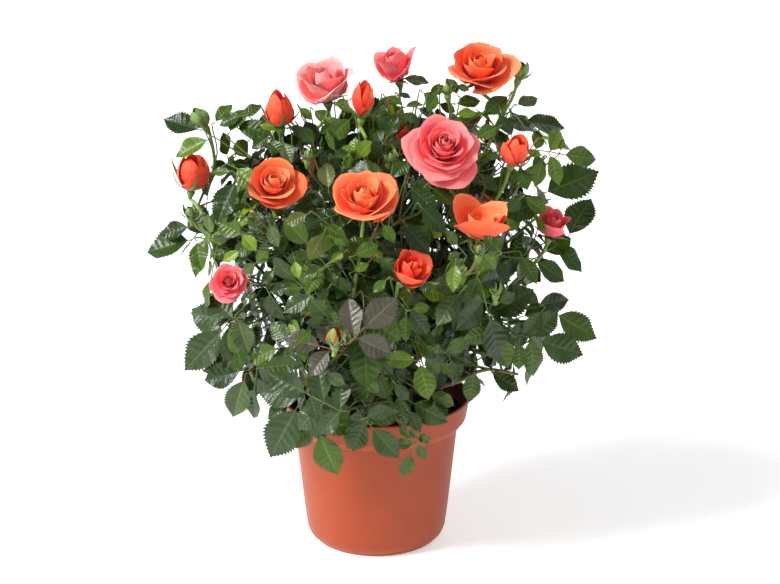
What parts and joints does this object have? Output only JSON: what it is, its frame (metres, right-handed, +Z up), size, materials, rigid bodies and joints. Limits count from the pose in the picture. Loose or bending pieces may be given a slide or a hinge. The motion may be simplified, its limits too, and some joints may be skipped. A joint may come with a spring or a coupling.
{
  "type": "potted rose bush",
  "caption": "Compact flowering rose bush with a rounded leafy crown of open blooms and buds, growing from a short stem in a tapered round nursery pot that stands on its flat base.",
  "frame": {"origin": "middle of the pot's flat underside, on the floor", "axes": "+Z up along the pot's axis to the top of the crown; -Y is the side the bush is shown from; +X is to that viewer's right"},
  "size_m": [0.282, 0.2451, 0.321],
  "materials": {
    "pot": "satin terracotta-coloured moulded plastic",
    "soil": "dull, moist, crumbly dark compost",
    "bark": "green to brown young rose bark, satin, with a few thorns",
    "foliage": "semi-gloss green rose leaves with soft matt orange and coral-pink petals"
  },
  "bodies": {
    "root": {"pot": "pot", "soil": "soil", "short_stem": "bark", "cane_low_back_left": "bark", "cane_low_back_right": "bark", "cane_low_front": "bark", "cane_low_left": "bark", "cane_low_right": "bark", "cane_mid_back": "bark", "cane_mid_front": "bark", "cane_mid_front_right": "bark", "cane_mid_left": "bark", "cane_mid_right": "bark", "cane_top_back": "bark", "cane_top_front": "bark", "cane_top_left": "bark", "cane_top_right": "bark", "foliage_low_back_left": "foliage", "foliage_low_back_right": "foliage", "foliage_low_front": "foliage", "foliage_low_left": "foliage", "foliage_low_right": "foliage", "foliage_mid_back": "foliage", "foliage_mid_front": "foliage", "foliage_mid_front_right": "foliage", "foliage_mid_left": "foliage", "foliage_mid_right": "foliage", "foliage_top_back": "foliage", "foliage_top_front": "foliage", "foliage_top_left": "foliage", "foliage_top_right": "foliage"}
  },
  "joints": []
}
